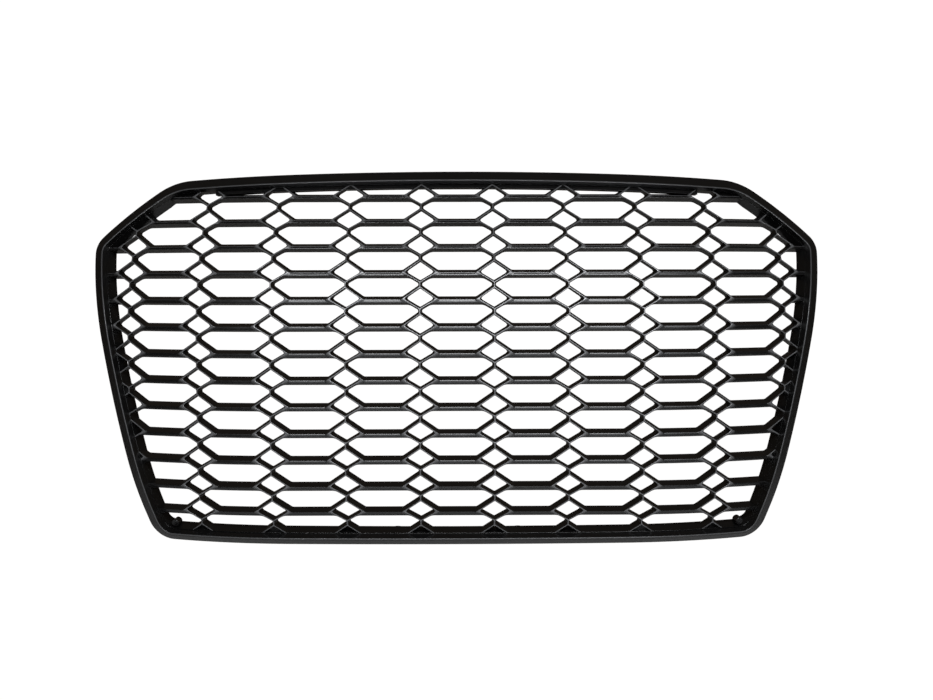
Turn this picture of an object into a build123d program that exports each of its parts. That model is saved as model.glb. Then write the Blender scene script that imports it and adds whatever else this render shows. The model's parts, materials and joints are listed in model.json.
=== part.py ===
from build123d import *
import math
import os

# Front grille: a deep honeycomb moulding in a rounded surround, carried by a rear frame.
# Everything is modelled about the middle of the honeycomb, then moved so that the
# origin is the centre of the upper bolt line. X is right, Y is back, Z is up. Millimetres.

# ---- driving dimensions ----------------------------------------------------------------
# Face of the grille: a flat middle that bows back to the sides, top and bottom.
SIDE_BEND = (215.0, 500.0, 40.0)      # start, radius, steepest angle
TOP_BEND = (12.0, 215.0, 43.0)
BOTTOM_BEND = (134.0, 195.0, 22.0)

# Outer edge of the surround, as arcs that run into each other: top, top corner,
# chamfer, shoulder, side, lower corner, bottom.
TOP_HEIGHT = 236.5
TOP_RADIUS, TOP_LENGTH = 6000.0, 360.0
CORNER_RADIUS, CORNER_TURN = 84.0, 32.7
CHAMFER_RADIUS, CHAMFER_LENGTH = 600.0, 94.0
SHOULDER_RADIUS, SHOULDER_TURN = 27.0, 52.0
SIDE_RADIUS, SIDE_LENGTH = 1826.0, 359.5
LOWER_CORNER_RADIUS = 35.0
BOTTOM_RADIUS = 21000.0

# Honeycomb: wide six-sided openings between columns of diamonds.
COLUMN_PITCH = 95.0
ROW_PITCH = 34.12
RIB_DEPTH = 25.0
DIAMOND_HALF_WIDTH = 21.6
DIAMOND_TOP = 13.7
DIAMOND_BOTTOM = 14.0
DIAMOND_SIDE_DROP = 1.2
RIDGE_HALF_WIDTH = 0.9
DIAMOND_DRAFT = 1.0                   # how much narrower an opening is at the back
SLOPE_DRAFT = 2.1
LINK_DRAFT = 1.8
BAR_TOP_FRONT, BAR_TOP_BACK = -2.0, 1.3        # cross bar, from the diamonds' middle
BAR_BOTTOM_FRONT, BAR_BOTTOM_BACK = -7.0, -9.8
LAST_ROW, LAST_COLUMN = 7, 5          # rows and columns counted from the middle
CUTTER_REACH = 18.0                   # how far a cutter runs past the ribs, front and back
WALL_OUTER_INSET = 14.2
WALL_INSET = 20.2                     # inner face of the perimeter wall, beside most openings
TOP_WALL_INSET = 23.4                 # beside the wide openings of the top row
TOP_ROW_Z = 200.0
CHAMFER_WALL_INSET = 24.4             # beside the openings near the chamfered top corners
CHAMFER_X, CHAMFER_Z = 355.0, 90.0
SMALLEST_OPENING = 40.0               # square millimetres; smaller ones are left solid
CORNER_BOSS = (374.0, -226.5)
CORNER_BOSS_RADIUS = 5.0
CORNER_BOSS_RECESS = 1.0
SLAB_HALF_WIDTH, SLAB_STEP_X = 500.0, 25.0
SLAB_HALF_HEIGHT, SLAB_STEP_Z = 262.0, 15.5

# Ring sections: (inset from the outer edge, depth behind the face's middle surface).
TRIM_SECTION = [
    (12.8, -27.0), (11.2, -27.0), (1.2, -21.0), (0.0, -19.0), (0.0, 12.0),
    (2.5, 12.0), (2.5, -18.4), (11.6, -23.8), (14.2, -13.0), (16.8, -13.0),
]
HOOK_SECTION = [(0.3, 10.0), (0.3, 19.0), (2.3, 19.0), (4.3, 17.0), (4.3, 15.8), (2.3, 15.8), (2.3, 10.0)]
FLANGE_SECTION = [(16.0, 9.3), (7.0, 9.3), (7.0, 11.8), (16.0, 11.8)]
CARRIER_SECTION = [
    (13.5, 12.4), (6.2, 12.4), (6.2, -12.0), (3.8, -12.0),
    (3.8, 12.4), (2.9, 12.4), (2.9, 15.4), (13.5, 15.4),
]
FOAM_SECTION = [(5.0, 15.6), (11.0, 15.6), (11.0, 23.6), (5.0, 23.6)]
CREST_DEPTH, CREST_INSET = -12.5, 10.0         # ring corners further forward and further in
BOTTOM_LEAN = 3.4                              # lean outward this much along the bottom
RAIL_SPACING = 30.0

# Fixings.
UPPER_TAB_X = (90.0, 270.0)
UPPER_TAB_TOP = 226.0
UPPER_HOLE_Y = 160.0
LOWER_TAB_X = (80.0, 240.0)
LOWER_TAB_BOTTOM = -247.0
LOWER_HOLE_Y = 64.0
TAB_THICKNESS = 3.0
TAB_WIDTH = 44.0
TAB_BEYOND_HOLE = 15.0
TAB_CORNER_RADIUS = 6.0
TAB_HOLE_RADIUS = 3.4
GUSSET_OFFSET = 14.0
GUSSET_HEIGHT = 5.0
GUSSET_LENGTH = 18.0
GUSSET_THICKNESS = 2.2
GUSSET_OVERLAP = 0.5
SIDE_TAB_Z = (40.0, -110.0)
SIDE_TAB_INSET = 7.0
SIDE_TAB_HEIGHT = 26.0
SIDE_TAB_REACH = 37.0
SIDE_TAB_CORNER_RADIUS = 4.0
SCREW_INSET = 9.6
SCREW_RADIUS = 1.95
SCREW_HOLE_RADIUS = 2.05
SCREW_PAD_RADIUS = 3.8
SCREW_HEAD_RADIUS = 3.6
SCREW_HEAD_HEIGHT = 2.6
SCREW_HEAD_EDGE = 1.2
SCREW_RECESS = (3.6, 2.4, 0.9)        # length, depth and width of each arm of the cross
SCREW_PAD_DEPTH = 20.5
SCREW_TIP_DEPTH = 3.0
SCREW_TIP_GAP = 0.5
SHANK_OVERLAP = 0.5
PLATE_MIDDLE = 14.0                   # depth of the middle of the carrier's rear plate
BOSS_RADIUS = 3.3
BOSS_END_DEPTH = 11.5                 # just inside the flange
SHEET = 1.0                           # spring steel of the nut clips and side clips
NUT_BORE_RADIUS = 3.0
NUT_BARREL_RADIUS = 4.7
NUT_BARREL_LENGTH = 5.6
NUT_CLIP_WIDTH = 16.0
NUT_CLIP_BEFORE_HOLE = 10.0
NUT_CLIP_BEND = 0.9
SIDE_CLIP_WIDTH = 15.0
SIDE_CLIP_LENGTH = 25.0
BARB_HEIGHT = 4.0
BARB_PEAK = 13.0                      # of the barb, from the clip's closed end
BARB_FOOT = 4.0
FIT_GAP = 0.15
SLAB_TOLERANCE = 0.08
PRISM_FRONT, PRISM_LENGTH = -60.0, 330.0
PAST = 40.0                           # how far a cut runs past what it cuts

# Origin of the part: the middle of the upper bolt line, on the tabs' top face.
ORIGIN = (0.0, UPPER_HOLE_Y, UPPER_TAB_TOP)

# Stretches along the outline arcs (arc number, start fraction, end fraction).
TOP, CORNER, CHAMFER, SHOULDER, SIDE, LOWER_CORNER, BOTTOM = range(7)
HOOKS = [
    (TOP, 0.08, 0.13), (TOP, 0.38, 0.43), (TOP, 0.86, 0.91), (CHAMFER, 0.15, 0.32),
    (CHAMFER, 0.68, 0.85), (SIDE, 0.18, 0.23), (SIDE, 0.43, 0.48), (SIDE, 0.74, 0.79),
    (BOTTOM, 0.22, 0.27), (BOTTOM, 0.62, 0.67),
]
SCREWS = [
    (TOP, 0.03), (TOP, 0.5), (TOP, 0.95), (CHAMFER, 0.5), (SIDE, 0.08),
    (SIDE, 0.42), (SIDE, 0.9), (BOTTOM, 0.1), (BOTTOM, 0.52), (BOTTOM, 0.94),
]
FOAMS = {"top_foam": (TOP, 0.33, 0.47), "side_foam": (SIDE, 0.5, 0.62)}


# ---- face and outline ------------------------------------------------------------------
def bend(past_start, radius, limit):
    """Set-back of an arc that goes on as its own tangent once it reaches the limit angle."""
    if past_start <= 0:
        return 0.0
    arc_reach = radius * math.sin(math.radians(limit))
    on_arc = min(past_start, arc_reach)
    set_back = radius - math.sqrt(radius * radius - on_arc * on_arc)
    return set_back + (past_start - on_arc) * math.tan(math.radians(limit))


def face_depth(x, z):
    """Y of the surface through the middle of the ribs."""
    side = bend(abs(x) - SIDE_BEND[0], SIDE_BEND[1], SIDE_BEND[2])
    top = bend(z - TOP_BEND[0], TOP_BEND[1], TOP_BEND[2])
    bottom = bend(-z - BOTTOM_BEND[0], BOTTOM_BEND[1], BOTTOM_BEND[2])
    return side + top + bottom


class OutlineArc:
    """One clockwise arc of the outline, with its centre, radius, first heading and turn."""

    def __init__(self, start, heading, radius, turn):
        self.centre_x = start[0] - radius * math.sin(heading)
        self.centre_z = start[1] - radius * math.cos(heading)
        self.radius = radius
        self.heading = heading
        self.turn = turn

    def at(self, fraction, inset=0.0):
        """Point at a fraction of the arc, moved in from the outer edge."""
        angle = self.heading + self.turn * fraction
        reach = self.radius - inset
        return (self.centre_x + reach * math.sin(angle), self.centre_z + reach * math.cos(angle))

    def end(self):
        """Last point of the arc."""
        return self.at(1.0)


def outline_arcs():
    """Right half of the outline, from the top centre round to the bottom centre."""
    lower_turn = math.radians(75.0)
    for _ in range(8):
        turns = [
            (TOP_RADIUS, TOP_LENGTH / TOP_RADIUS),
            (CORNER_RADIUS, math.radians(CORNER_TURN)),
            (CHAMFER_RADIUS, CHAMFER_LENGTH / CHAMFER_RADIUS),
            (SHOULDER_RADIUS, math.radians(SHOULDER_TURN)),
            (SIDE_RADIUS, SIDE_LENGTH / SIDE_RADIUS),
            (LOWER_CORNER_RADIUS, lower_turn),
        ]
        point = (0.0, TOP_HEIGHT)
        heading = 0.0
        arcs = []
        for radius, turn in turns:
            arcs.append(OutlineArc(point, heading, radius, turn))
            point = arcs[-1].end()
            heading += turn
        bottom_turn = math.asin(point[0] / BOTTOM_RADIUS)
        lower_turn += math.pi - bottom_turn - heading
    arcs.append(OutlineArc(point, heading, BOTTOM_RADIUS, bottom_turn))
    return arcs


ARCS = outline_arcs()


def mirrored(point, side):
    """Point on the right half (side 1) or its twin on the left half (side -1)."""
    return (side * point[0], point[1])


def bottom_share(arc, fraction):
    """How far the outline has turned into its bottom edge: 0 on the side, 1 on the bottom."""
    if arc is ARCS[BOTTOM]:
        return 1.0
    if arc is ARCS[LOWER_CORNER]:
        return fraction * fraction * (3 - 2 * fraction)
    return 0.0


def rail_point(arc, fraction, inset, depth, side):
    """Point of a ring's edge, in space."""
    if depth < CREST_DEPTH and inset > CREST_INSET:
        inset -= BOTTOM_LEAN * bottom_share(arc, fraction)
    x, z = mirrored(arc.at(fraction, inset), side)
    return (x, face_depth(x, z) + depth, z)


def rail(arc, span, inset, depth, side):
    """Smooth edge that follows the outline at one inset and depth."""
    start, end = span
    length = arc.radius * arc.turn * (end - start)
    steps = max(4, round(length / RAIL_SPACING))
    fractions = [start + (end - start) * step / steps for step in range(steps + 1)]
    return Edge.make_spline([Vector(*rail_point(arc, f, inset, depth, side)) for f in fractions])


def ruled_faces(arc, span, section, side):
    """Faces between neighbouring corners of a section, carried along one arc."""
    rails = [rail(arc, span, inset, depth, side) for inset, depth in section]
    return [
        Face.make_surface_from_curves(rails[i], rails[(i + 1) % len(rails)])
        for i in range(len(rails))
    ]


def solid_of(faces):
    """Closed solid from faces that meet edge to edge."""
    solid = Solid(Shell(faces))
    if solid.volume < 0:
        solid = Solid(solid.wrapped.Reversed())
    return solid


def ring(section):
    """Solid that carries a section all the way round the outline."""
    faces = []
    for side in (1, -1):
        for arc in ARCS:
            faces += ruled_faces(arc, (0.0, 1.0), section, side)
    return solid_of(faces)


def strip(section, stretch, side):
    """Solid that carries a section along part of one arc, closed at both ends."""
    number, start, end = stretch
    arc = ARCS[number]
    faces = ruled_faces(arc, (start, end), section, side)
    for fraction in (start, end):
        corners = [rail_point(arc, fraction, inset, depth, side) for inset, depth in section]
        faces.append(Face(Wire.make_polygon([Vector(*corner) for corner in corners])))
    return solid_of(faces)


def prism(inset):
    """Everything inside the outline at one inset, straight along Y."""
    edges = []
    for side in (1, -1):
        for arc in ARCS:
            points = [mirrored(arc.at(f, inset), side) for f in (0.0, 0.5, 1.0)]
            edges.append(Edge.make_three_point_arc(*[Vector(x, PRISM_FRONT, z) for x, z in points]))
    outline = Face(Wire.combine(edges)[0])
    return Solid.extrude(outline, Vector(0, PRISM_LENGTH, 0))


def slab(front, back):
    """Curved sheet that follows the face between two depths."""
    column_count = round(2 * SLAB_HALF_WIDTH / SLAB_STEP_X) + 1
    row_count = round(2 * SLAB_HALF_HEIGHT / SLAB_STEP_Z) + 1
    columns = [-SLAB_HALF_WIDTH + SLAB_STEP_X * i for i in range(column_count)]
    rows = [-SLAB_HALF_HEIGHT + SLAB_STEP_Z * i for i in range(row_count)]
    points = [[Vector(x, face_depth(x, z) + front, z) for x in columns] for z in rows]
    sheet = Face.make_surface_from_array_of_points(points, tol=SLAB_TOLERANCE, min_deg=3, max_deg=3)
    return Solid.extrude(sheet, Vector(0, back - front, 0))


# ---- honeycomb -------------------------------------------------------------------------
def inset_corners(corners, insets):
    """Corners of a polygon, listed anticlockwise, after each side has moved inward."""
    sides = []
    count = len(corners)
    for i in range(count):
        (x0, z0), (x1, z1) = corners[i], corners[(i + 1) % count]
        length = math.hypot(x1 - x0, z1 - z0)
        normal = (-(z1 - z0) / length, (x1 - x0) / length)
        sides.append((normal, normal[0] * x0 + normal[1] * z0 + insets[i]))
    moved = []
    for i in range(count):
        (a, b), c = sides[i - 1]
        (d, e), f = sides[i]
        det = a * e - b * d
        moved.append(((c * e - b * f) / det, (a * f - c * d) / det))
    return moved


def diamond_corners():
    """Ridge line round a diamond, anticlockwise."""
    return [
        (DIAMOND_HALF_WIDTH, -DIAMOND_SIDE_DROP), (0.0, DIAMOND_TOP),
        (-DIAMOND_HALF_WIDTH, -DIAMOND_SIDE_DROP), (0.0, -DIAMOND_BOTTOM),
    ]


def diamond_insets(draft_share):
    """Insets of the diamond's sides at a share of the draft: 0 at the front, 1 at the back."""
    return [RIDGE_HALF_WIDTH + DIAMOND_DRAFT * draft_share] * 4


def cell_corners():
    """Ridge line round a wide opening, anticlockwise from the lower left."""
    half_row = ROW_PITCH / 2
    flat = COLUMN_PITCH / 2 - DIAMOND_HALF_WIDTH
    tip = COLUMN_PITCH / 2
    lower = -half_row - DIAMOND_SIDE_DROP
    upper = half_row - DIAMOND_SIDE_DROP
    return [
        (-flat, lower), (flat, lower), (tip, DIAMOND_TOP - half_row),
        (tip, half_row - DIAMOND_BOTTOM), (flat, upper), (-flat, upper),
        (-tip, half_row - DIAMOND_BOTTOM), (-tip, DIAMOND_TOP - half_row),
    ]


def cell_insets(draft_share):
    """Insets of the wide opening's sides at a share of the draft."""
    bar_top = BAR_TOP_FRONT + (BAR_TOP_BACK - BAR_TOP_FRONT) * draft_share
    bar_bottom = BAR_BOTTOM_FRONT + (BAR_BOTTOM_BACK - BAR_BOTTOM_FRONT) * draft_share
    slope = RIDGE_HALF_WIDTH + SLOPE_DRAFT * draft_share
    link = RIDGE_HALF_WIDTH + LINK_DRAFT * draft_share
    floor = bar_top + DIAMOND_SIDE_DROP
    ceiling = -bar_bottom - DIAMOND_SIDE_DROP
    return [floor, slope, link, slope, ceiling, slope, link, slope]


def cutter(corners, insets, x, z):
    """Tapered block for one opening, narrowing from well in front to well behind the ribs."""
    middle = face_depth(x, z)
    reach = RIB_DEPTH / 2 + CUTTER_REACH
    wires = []
    for end in (-1, 1):
        draft_share = 0.5 + end * reach / RIB_DEPTH
        outline = inset_corners(corners, insets(draft_share))
        points = [Vector(x + dx, middle + end * reach, z + dz) for dx, dz in outline]
        wires.append(Wire.make_polygon(points))
    return Solid.make_loft(wires, ruled=True)


def opening_places():
    """Kind and centre of every opening that could show inside the wall."""
    places = []
    for row in range(-LAST_ROW, LAST_ROW):
        for column in range(-LAST_COLUMN, LAST_COLUMN + 1):
            places.append(("cell", column * COLUMN_PITCH, (row + 0.5) * ROW_PITCH))
    for row in range(1 - LAST_ROW, LAST_ROW):
        for column in range(-LAST_COLUMN, LAST_COLUMN):
            places.append(("diamond", (column + 0.5) * COLUMN_PITCH, row * ROW_PITCH))
    return places


def wall_inset(kind, x, z):
    """Inset of the perimeter wall's inner face beside one opening."""
    if abs(x) > CHAMFER_X and z > CHAMFER_Z:
        return CHAMFER_WALL_INSET
    if kind == "cell" and z > TOP_ROW_Z:
        return TOP_WALL_INSET
    return WALL_INSET


def inside(x, z, inset):
    """Whether a point lies inside the outline at one inset."""
    for arc in ARCS:
        dx = abs(x) - arc.centre_x
        dz = z - arc.centre_z
        angle = math.atan2(dx, dz)
        if arc.heading <= angle <= arc.heading + arc.turn:
            return math.hypot(dx, dz) <= arc.radius - inset
    return False


def opening_cutters():
    """Cutters of all openings, those at the edge trimmed to the perimeter wall."""
    walls = {inset: prism(inset) for inset in (WALL_INSET, TOP_WALL_INSET, CHAMFER_WALL_INSET)}
    smallest = SMALLEST_OPENING * (RIB_DEPTH + 2 * CUTTER_REACH)
    cutters = []
    for kind, x, z in opening_places():
        corners = cell_corners() if kind == "cell" else diamond_corners()
        insets = cell_insets if kind == "cell" else diamond_insets
        inset = wall_inset(kind, x, z)
        within = [inside(x + dx, z + dz, inset) for dx, dz in corners]
        if not any(within):
            continue
        block = cutter(corners, insets, x, z)
        if all(within):
            cutters.append(block)
        else:
            trimmed = (block & walls[inset]).solids()
            cutters += [piece for piece in trimmed if piece.volume > smallest]
    return cutters


def placed_cylinder(radius, x, z, front, back):
    """Cylinder along Y from one absolute depth to another."""
    turned = Rot(-90, 0, 0) * Cylinder(radius, back - front, align=(Align.CENTER, Align.CENTER, Align.MIN))
    return Pos(x, front, z) * turned


def screw_places():
    """Centres of the insert screws, both halves."""
    places = []
    for side in (1, -1):
        for number, fraction in SCREWS:
            places.append(mirrored(ARCS[number].at(fraction, SCREW_INSET), side))
    return places


def honeycomb_insert():
    """Deep ribbed moulding with its perimeter wall, rear flange and screw bosses."""
    body = slab(-RIB_DEPTH / 2, RIB_DEPTH / 2) & prism(WALL_OUTER_INSET)
    body = body.solids()[0].cut(*opening_cutters())
    body = body + ring(FLANGE_SECTION)
    bosses = []
    for x, z in screw_places():
        middle = face_depth(x, z)
        bosses.append(placed_cylinder(BOSS_RADIUS, x, z, middle, middle + PAST))
    for side in (1, -1):
        x, z = mirrored(CORNER_BOSS, side)
        middle = face_depth(x, z)
        front = middle - RIB_DEPTH / 2 + CORNER_BOSS_RECESS
        bosses.append(placed_cylinder(CORNER_BOSS_RADIUS, x, z, front, middle + PAST))
    before_flange = slab(-PAST, BOSS_END_DEPTH)
    body = body + [boss & before_flange for boss in bosses]
    bores = []
    for x, z in screw_places():
        start = face_depth(x, z) + SCREW_TIP_DEPTH - SCREW_TIP_GAP
        bores.append(placed_cylinder(SCREW_HOLE_RADIUS, x, z, start, start + PAST))
    return max((body - bores).solids(), key=lambda solid: solid.volume)


# ---- surround and carrier --------------------------------------------------------------
def surround_trim():
    """Visible rim with its rounded crest, sloped outer face and snap hooks behind."""
    body = ring(TRIM_SECTION)
    hooks = [strip(HOOK_SECTION, stretch, side) for side in (1, -1) for stretch in HOOKS]
    return body + hooks


def side_tab_x(z):
    """X of the middle of a side tab at one height."""
    arc = ARCS[SIDE]
    angle = math.acos((z - arc.centre_z) / arc.radius)
    return arc.centre_x + arc.radius * math.sin(angle) - SIDE_TAB_INSET


def side_tab_span(z):
    """Front and back Y of a side tab."""
    x = side_tab_x(z)
    front = face_depth(x, z)
    return front, front + PLATE_MIDDLE + SIDE_TAB_REACH


def flat_tab(x, z_low, hole_y, root_y):
    """Level tab with a round bolt hole and rounded free corners."""
    end_y = hole_y + TAB_BEYOND_HOLE
    plate = Pos(x, (root_y + end_y) / 2, z_low + TAB_THICKNESS / 2) * Box(
        TAB_WIDTH, end_y - root_y, TAB_THICKNESS
    )
    free = plate.edges().filter_by(Axis.Z).group_by(Axis.Y)[-1]
    plate = fillet(free, TAB_CORNER_RADIUS)
    hole = Pos(x, hole_y, z_low + TAB_THICKNESS / 2) * Cylinder(TAB_HOLE_RADIUS, 2 * TAB_THICKNESS)
    return plate - hole


def tab_root(x, z):
    """Y where a level tab starts, in front of the rear plate; the plate's own shape trims it."""
    return face_depth(abs(x) - TAB_WIDTH / 2, z)


def upright_tab(z, side):
    """Side tab, standing in a plane across X, that takes a spring clip."""
    front, back = side_tab_span(z)
    plate = Pos(side * side_tab_x(z), (front + back) / 2, z) * Box(
        TAB_THICKNESS, back - front, SIDE_TAB_HEIGHT
    )
    free = plate.edges().filter_by(Axis.X).group_by(Axis.Y)[-1]
    return fillet(free, SIDE_TAB_CORNER_RADIUS)


def gusset(x, z_low, up):
    """Thin triangular web between a level tab and the rear plate."""
    start = z_low + (TAB_THICKNESS - GUSSET_OVERLAP if up > 0 else GUSSET_OVERLAP)
    root_y = face_depth(x, start) + PLATE_MIDDLE - SHEET
    corners = [(root_y, start), (root_y + GUSSET_LENGTH, start), (root_y, start + GUSSET_HEIGHT * up)]
    web = Face(Wire.make_polygon([Vector(x - GUSSET_THICKNESS / 2, y, z) for y, z in corners]))
    return Solid.extrude(web, Vector(GUSSET_THICKNESS, 0, 0))


def carrier_frame():
    """Rear frame: stiff ring, screw pads, and the tabs that fix the grille to the car."""
    body = ring(CARRIER_SECTION)
    additions = [
        placed_cylinder(SCREW_PAD_RADIUS, x, z, face_depth(x, z), face_depth(x, z) + SCREW_PAD_DEPTH)
        for x, z in screw_places()
    ]
    for side in (1, -1):
        for x in UPPER_TAB_X:
            z_low = UPPER_TAB_TOP - TAB_THICKNESS
            additions.append(flat_tab(side * x, z_low, UPPER_HOLE_Y, tab_root(x, z_low)))
            additions.append(gusset(side * x + GUSSET_OFFSET, z_low, -1))
            additions.append(gusset(side * x - GUSSET_OFFSET, z_low, -1))
        for x in LOWER_TAB_X:
            z_low = LOWER_TAB_BOTTOM
            additions.append(flat_tab(side * x, z_low, LOWER_HOLE_Y, tab_root(x, z_low + TAB_THICKNESS)))
            additions.append(gusset(side * x + GUSSET_OFFSET, z_low, 1))
            additions.append(gusset(side * x - GUSSET_OFFSET, z_low, 1))
        for z in SIDE_TAB_Z:
            additions.append(upright_tab(z, side))
    behind_plate = slab(PLATE_MIDDLE, PLATE_MIDDLE + 2 * PAST)
    body = body + [(piece & behind_plate).solids()[0] for piece in additions]
    bores = [
        placed_cylinder(SCREW_HOLE_RADIUS, x, z, face_depth(x, z), face_depth(x, z) + PAST)
        for x, z in screw_places()
    ]
    return body - bores


# ---- hardware --------------------------------------------------------------------------
def insert_screw(x, z):
    """Pan-head screw with a plain cross recess, driven from behind."""
    middle = face_depth(x, z)
    seat = middle + SCREW_PAD_DEPTH
    shank = placed_cylinder(SCREW_RADIUS, x, z, middle + SCREW_TIP_DEPTH, seat + SHANK_OVERLAP)
    head = placed_cylinder(SCREW_HEAD_RADIUS, x, z, seat, seat + SCREW_HEAD_HEIGHT)
    head = fillet(head.edges().group_by(Axis.Y)[-1], SCREW_HEAD_EDGE)
    length, depth, width = SCREW_RECESS
    level_arm = Pos(x, seat + SCREW_HEAD_HEIGHT, z) * Box(length, depth, width)
    upright_arm = Pos(x, seat + SCREW_HEAD_HEIGHT, z) * Box(width, depth, length)
    return shank + head - level_arm - upright_arm


def nut_clip(x, z_low, hole_y, nut_below):
    """Sheet-steel nut clip pushed over the free edge of a level tab."""
    low = z_low - FIT_GAP
    high = z_low + TAB_THICKNESS + FIT_GAP
    front = hole_y - NUT_CLIP_BEFORE_HOLE
    bend_y = hole_y + TAB_BEYOND_HOLE + FIT_GAP
    outer = Box(NUT_CLIP_WIDTH, bend_y + SHEET - front, high - low + 2 * SHEET)
    outer = Pos(x, (front + bend_y + SHEET) / 2, (low + high) / 2) * outer
    outer = fillet(outer.edges().filter_by(Axis.X).group_by(Axis.Y)[-1], NUT_CLIP_BEND)
    inner = Box(NUT_CLIP_WIDTH + SHEET, bend_y - front + SHEET, high - low)
    inner = Pos(x, (front - SHEET + bend_y) / 2, (low + high) / 2) * inner
    clip = outer - inner
    barrel_middle = NUT_BARREL_LENGTH / 2 - FIT_GAP
    barrel_z = low - SHEET - barrel_middle if nut_below else high + SHEET + barrel_middle
    clip = clip + Pos(x, hole_y, barrel_z) * Cylinder(NUT_BARREL_RADIUS, NUT_BARREL_LENGTH)
    leaf_z = high + SHEET / 2 if nut_below else low - SHEET / 2
    clip = clip - Pos(x, hole_y, leaf_z) * Cylinder(TAB_HOLE_RADIUS, 2 * SHEET)
    return clip - Pos(x, hole_y, z_low) * Cylinder(NUT_BORE_RADIUS, PAST)


def side_clip(z, side):
    """Spring clip folded round the end of a side tab, with a sprung barb outside."""
    middle = side_tab_x(z)
    end = side_tab_span(z)[1] + FIT_GAP
    half = TAB_THICKNESS / 2 + FIT_GAP
    inner_leaf = middle - half
    outer_leaf = middle + half
    outer_face = outer_leaf + SHEET
    front = end - SIDE_CLIP_LENGTH
    barb_front = front + 3 * SHEET
    outline = [
        (inner_leaf - SHEET, front), (inner_leaf, front), (inner_leaf, end), (outer_leaf, end),
        (outer_leaf, barb_front), (outer_face, barb_front), (outer_face + BARB_HEIGHT, end - BARB_PEAK),
        (outer_face, end - BARB_FOOT), (outer_face, end + SHEET), (inner_leaf - SHEET, end + SHEET),
    ]
    hollow = [
        (outer_face - FIT_GAP, barb_front + 2.5 * SHEET),
        (outer_face + BARB_HEIGHT - 1.4 * SHEET, end - BARB_PEAK),
        (outer_face - FIT_GAP, end - BARB_FOOT - 2.5 * SHEET),
    ]
    low = z - SIDE_CLIP_WIDTH / 2
    profile = Face(Wire.make_polygon([Vector(side * x, y, low) for x, y in outline]))
    window = Face(Wire.make_polygon([Vector(side * x, y, low - SHEET) for x, y in hollow]))
    clip = Solid.extrude(profile, Vector(0, 0, SIDE_CLIP_WIDTH))
    return clip - Solid.extrude(window, Vector(0, 0, SIDE_CLIP_WIDTH + 2 * SHEET))


# ---- writing the nodes -----------------------------------------------------------------
def save(name, shape):
    """Write one node, moved to the part's own origin."""
    moved = Pos(-ORIGIN[0], -ORIGIN[1], -ORIGIN[2]) * shape
    export_step(moved, f"parts/{name}.step")


def main():
    """Build and write every node."""
    os.makedirs("parts", exist_ok=True)
    save("surround_trim", surround_trim())
    save("carrier_frame", carrier_frame())
    save("honeycomb_insert", honeycomb_insert())
    save("insert_screws", Compound([insert_screw(x, z).solids()[0] for x, z in screw_places()]))
    for side, hand in ((1, "right"), (-1, "left")):
        for place, x in zip(("inner", "outer"), UPPER_TAB_X):
            upper = nut_clip(side * x, UPPER_TAB_TOP - TAB_THICKNESS, UPPER_HOLE_Y, True)
            save(f"upper_nut_clip_{place}_{hand}", upper)
        for place, x in zip(("inner", "outer"), LOWER_TAB_X):
            lower = nut_clip(side * x, LOWER_TAB_BOTTOM, LOWER_HOLE_Y, False)
            save(f"lower_nut_clip_{place}_{hand}", lower)
        for place, z in zip(("upper", "lower"), SIDE_TAB_Z):
            save(f"side_spring_clip_{place}_{hand}", side_clip(z, side))
        for name, stretch in FOAMS.items():
            save(f"{name}_{hand}", strip(FOAM_SECTION, stretch, side))


main()
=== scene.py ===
"""Front grille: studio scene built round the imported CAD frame, in metres."""

import json
import logging
import math
from dataclasses import dataclass, field
from enum import Enum
from typing import Any, Callable, Sequence

import bmesh
import bpy
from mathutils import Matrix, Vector


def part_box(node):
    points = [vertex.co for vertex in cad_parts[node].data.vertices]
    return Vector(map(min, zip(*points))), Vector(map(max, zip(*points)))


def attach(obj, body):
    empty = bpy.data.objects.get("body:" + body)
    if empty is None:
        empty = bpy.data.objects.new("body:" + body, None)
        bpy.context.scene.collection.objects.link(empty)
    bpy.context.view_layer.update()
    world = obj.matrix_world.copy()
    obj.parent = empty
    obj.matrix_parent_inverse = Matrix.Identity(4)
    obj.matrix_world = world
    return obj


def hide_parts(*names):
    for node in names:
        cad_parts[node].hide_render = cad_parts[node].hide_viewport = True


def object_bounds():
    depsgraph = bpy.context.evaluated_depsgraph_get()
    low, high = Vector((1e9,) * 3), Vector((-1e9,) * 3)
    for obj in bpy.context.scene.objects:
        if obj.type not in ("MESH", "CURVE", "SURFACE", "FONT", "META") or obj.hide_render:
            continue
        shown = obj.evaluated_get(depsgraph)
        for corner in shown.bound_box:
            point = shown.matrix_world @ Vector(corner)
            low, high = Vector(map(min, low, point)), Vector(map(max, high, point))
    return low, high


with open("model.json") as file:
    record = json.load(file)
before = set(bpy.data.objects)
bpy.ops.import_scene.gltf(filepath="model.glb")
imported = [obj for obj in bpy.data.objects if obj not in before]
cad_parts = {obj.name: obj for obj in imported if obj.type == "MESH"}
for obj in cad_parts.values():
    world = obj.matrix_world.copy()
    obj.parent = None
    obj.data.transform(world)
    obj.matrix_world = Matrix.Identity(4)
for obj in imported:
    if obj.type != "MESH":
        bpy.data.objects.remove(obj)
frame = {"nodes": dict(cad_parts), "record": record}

LOG = logging.getLogger("front_grille")
MM = 0.001
BODY = "root"
# name of the vertex layer that holds the painted highlight mask
PAINTED_HIGHLIGHT_LAYER = "crest"
FAR = 1000.0
ANGLE_SLACK = 1e-9
LONGEST_FILLET = 0.45
LARGE_FILLET = 1.2

Point2 = tuple[float, float]
Point3 = tuple[float, float, float]
Point4 = tuple[float, float, float, float]
CAD_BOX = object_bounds()


class Opening(Enum):
    """The two kinds of opening in the honeycomb."""

    CELL = "cell"
    DIAMOND = "diamond"


class Slot(Enum):
    """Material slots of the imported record."""

    SURROUND = "surround_plastic"
    HONEYCOMB = "honeycomb_plastic"
    CARRIER = "carrier_plastic"
    SCREW = "black_screw_steel"
    SPRING = "spring_steel"
    FOAM = "foam"


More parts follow.
